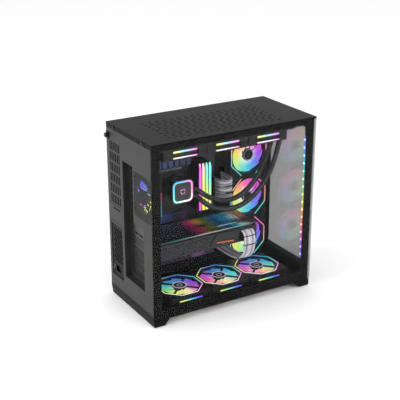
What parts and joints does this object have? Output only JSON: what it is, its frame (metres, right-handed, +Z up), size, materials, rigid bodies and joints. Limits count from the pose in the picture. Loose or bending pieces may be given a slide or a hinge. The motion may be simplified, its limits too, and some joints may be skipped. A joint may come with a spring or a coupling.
{
  "type": "desktop computer tower",
  "caption": "Desktop computer tower with a glass side and front, liquid cooler, lit fans, graphics card and a rear chamber for its supply.",
  "frame": {"origin": "middle of the tower's outline, on the surface it stands on", "axes": "+X from the rear panel to the front glass, +Y from the glass side to the steel side, +Z up"},
  "size_m": [0.484, 0.238, 0.475],
  "materials": {
    "black_steel": "satin powder coat",
    "rear_steel": "satin powder coat",
    "black_plastic": "fine matte",
    "frame_plastic": "moulded, satin",
    "tinted_glass": "polished, black printed edge",
    "front_glass": "polished",
    "rubber": "matte",
    "light_strip": "lit from inside",
    "light_bar": "lit from inside",
    "light_line": "lit from inside",
    "rotor_plastic": "frosted, lit from the hub",
    "rotor_black": "satin",
    "circuit_board": "satin solder mask",
    "heatsink": "anodised, brushed",
    "fins": "plain fins",
    "sleeve": "braided sleeve",
    "tube_rubber": "satin, sleeved",
    "radiator_black": "painted",
    "backplate": "gloss",
    "bracket_steel": "brushed",
    "port_metal": "stamped",
    "screw_steel": "black oxide",
    "filter_mesh": "fine mesh"
  },
  "bodies": {
    "chassis": {"floor_pan": "black_steel", "rear_panel": "rear_steel", "motherboard_tray": "black_steel", "front_frame": "black_steel", "top_frame": "black_steel", "front_glass": "front_glass", "front_column": "black_steel", "front_ports": "port_metal", "foot_rails": "black_steel", "foot_pads": "rubber", "led_strip": "light_strip", "slot_covers": "rear_steel", "motherboard": "circuit_board", "rear_ports": "port_metal", "port_cover": "heatsink", "board_heatsinks": "heatsink", "board_plates": "heatsink", "board_sockets": "black_plastic", "memory_modules": "heatsink", "memory_lights": "light_bar", "main_power_cable": "sleeve", "card_power_cable": "sleeve", "cable_combs": "black_plastic", "pump_head": "black_plastic", "pump_light": "light_bar", "coolant_tubes": "tube_rubber", "radiator": "radiator_black", "roof_fan_frames": "frame_plastic", "side_fan_frames": "frame_plastic", "floor_fan_frames": "frame_plastic", "rear_fan_frame": "frame_plastic", "fan_lights": "light_line", "card_shroud": "black_plastic", "card_backplate": "backplate", "card_heatsink": "fins", "card_bracket": "bracket_steel", "power_supply": "black_steel", "storage_drive": "heatsink"},
    "top_panel": {"top_panel": "black_steel", "top_panel_screws": "screw_steel"},
    "side_glass": {"side_glass": "tinted_glass"},
    "far_panel": {"far_panel": "black_steel", "far_panel_screw": "screw_steel"},
    "power_button": {"power_button": "frame_plastic"},
    "dust_filter": {"dust_filter": "filter_mesh"},
    "supply_switch": {"supply_switch": "frame_plastic"},
    "roof_rotor_1": {"roof_rotor_1": "rotor_plastic"},
    "roof_rotor_2": {"roof_rotor_2": "rotor_plastic"},
    "roof_rotor_3": {"roof_rotor_3": "rotor_plastic"},
    "side_rotor_1": {"side_rotor_1": "rotor_plastic"},
    "side_rotor_2": {"side_rotor_2": "rotor_plastic"},
    "side_rotor_3": {"side_rotor_3": "rotor_plastic"},
    "floor_rotor_1": {"floor_rotor_1": "rotor_plastic"},
    "floor_rotor_2": {"floor_rotor_2": "rotor_plastic"},
    "floor_rotor_3": {"floor_rotor_3": "rotor_plastic"},
    "rear_rotor": {"rear_rotor": "rotor_plastic"},
    "card_rotor_1": {"card_rotor_1": "rotor_black"},
    "card_rotor_2": {"card_rotor_2": "rotor_black"},
    "card_rotor_3": {"card_rotor_3": "rotor_black"},
    "supply_rotor": {"supply_rotor": "rotor_black"}
  },
  "joints": [
    {"name": "top_panel_lift", "type": "slide", "parent": "chassis", "child": "top_panel", "axis": [0, 0, 1], "range_m": [0, 0.12]},
    {"name": "side_glass_pull", "type": "slide", "parent": "chassis", "child": "side_glass", "axis": [0, -1, 0], "range_m": [0, 0.15]},
    {"name": "far_panel_slide", "type": "slide", "parent": "chassis", "child": "far_panel", "axis": [-1, 0, 0], "range_m": [0, 0.03]},
    {"name": "power_button_press", "type": "slide", "parent": "chassis", "child": "power_button", "axis": [-1, 0, 0], "range_m": [0, 0.0015], "stiffness_N_per_m": 500, "springref_m": -0.001},
    {"name": "dust_filter_slide", "type": "slide", "parent": "chassis", "child": "dust_filter", "axis": [0, 1, 0], "range_m": [0, 0.2]},
    {"name": "supply_switch_rock", "type": "hinge", "parent": "chassis", "child": "supply_switch", "pos_m": [-0.2275, 0.101, 0.085], "axis": [0, 1, 0], "range_deg": [0, 12]},
    {"name": "roof_spin_1", "type": "hinge", "parent": "chassis", "child": "roof_rotor_1", "pos_m": [-0.131, -0.038, 0.434], "axis": [0, 0, 1], "continuous": true},
    {"name": "roof_spin_2", "type": "hinge", "parent": "chassis", "child": "roof_rotor_2", "pos_m": [-0.011, -0.038, 0.434], "axis": [0, 0, 1], "continuous": true},
    {"name": "roof_spin_3", "type": "hinge", "parent": "chassis", "child": "roof_rotor_3", "pos_m": [0.109, -0.038, 0.434], "axis": [0, 0, 1], "continuous": true},
    {"name": "side_spin_1", "type": "hinge", "parent": "chassis", "child": "side_rotor_1", "pos_m": [0.1585, 0.071, 0.096], "axis": [0, -1, 0], "continuous": true},
    {"name": "side_spin_2", "type": "hinge", "parent": "chassis", "child": "side_rotor_2", "pos_m": [0.1585, 0.071, 0.216], "axis": [0, -1, 0], "continuous": true},
    {"name": "side_spin_3", "type": "hinge", "parent": "chassis", "child": "side_rotor_3", "pos_m": [0.1585, 0.071, 0.336], "axis": [0, -1, 0], "continuous": true},
    {"name": "floor_spin_1", "type": "hinge", "parent": "chassis", "child": "floor_rotor_1", "pos_m": [-0.116, -0.038, 0.045], "axis": [0, 0, 1], "continuous": true},
    {"name": "floor_spin_2", "type": "hinge", "parent": "chassis", "child": "floor_rotor_2", "pos_m": [0.004, -0.038, 0.045], "axis": [0, 0, 1], "continuous": true},
    {"name": "floor_spin_3", "type": "hinge", "parent": "chassis", "child": "floor_rotor_3", "pos_m": [0.124, -0.038, 0.045], "axis": [0, 0, 1], "continuous": true},
    {"name": "rear_spin", "type": "hinge", "parent": "chassis", "child": "rear_rotor", "pos_m": [-0.222, -0.0687, 0.332], "axis": [1, 0, 0], "continuous": true},
    {"name": "card_spin_1", "type": "hinge", "parent": "chassis", "child": "card_rotor_1", "pos_m": [-0.1708, -0.04, 0.172], "axis": [0, 0, 1], "continuous": true},
    {"name": "card_spin_2", "type": "hinge", "parent": "chassis", "child": "card_rotor_2", "pos_m": [-0.0768, -0.04, 0.172], "axis": [0, 0, 1], "continuous": true},
    {"name": "card_spin_3", "type": "hinge", "parent": "chassis", "child": "card_rotor_3", "pos_m": [0.0172, -0.04, 0.172], "axis": [0, 0, 1], "continuous": true},
    {"name": "supply_spin", "type": "hinge", "parent": "chassis", "child": "supply_rotor", "pos_m": [-0.1545, 0.095, 0.136], "axis": [0, 1, 0], "continuous": true}
  ]
}
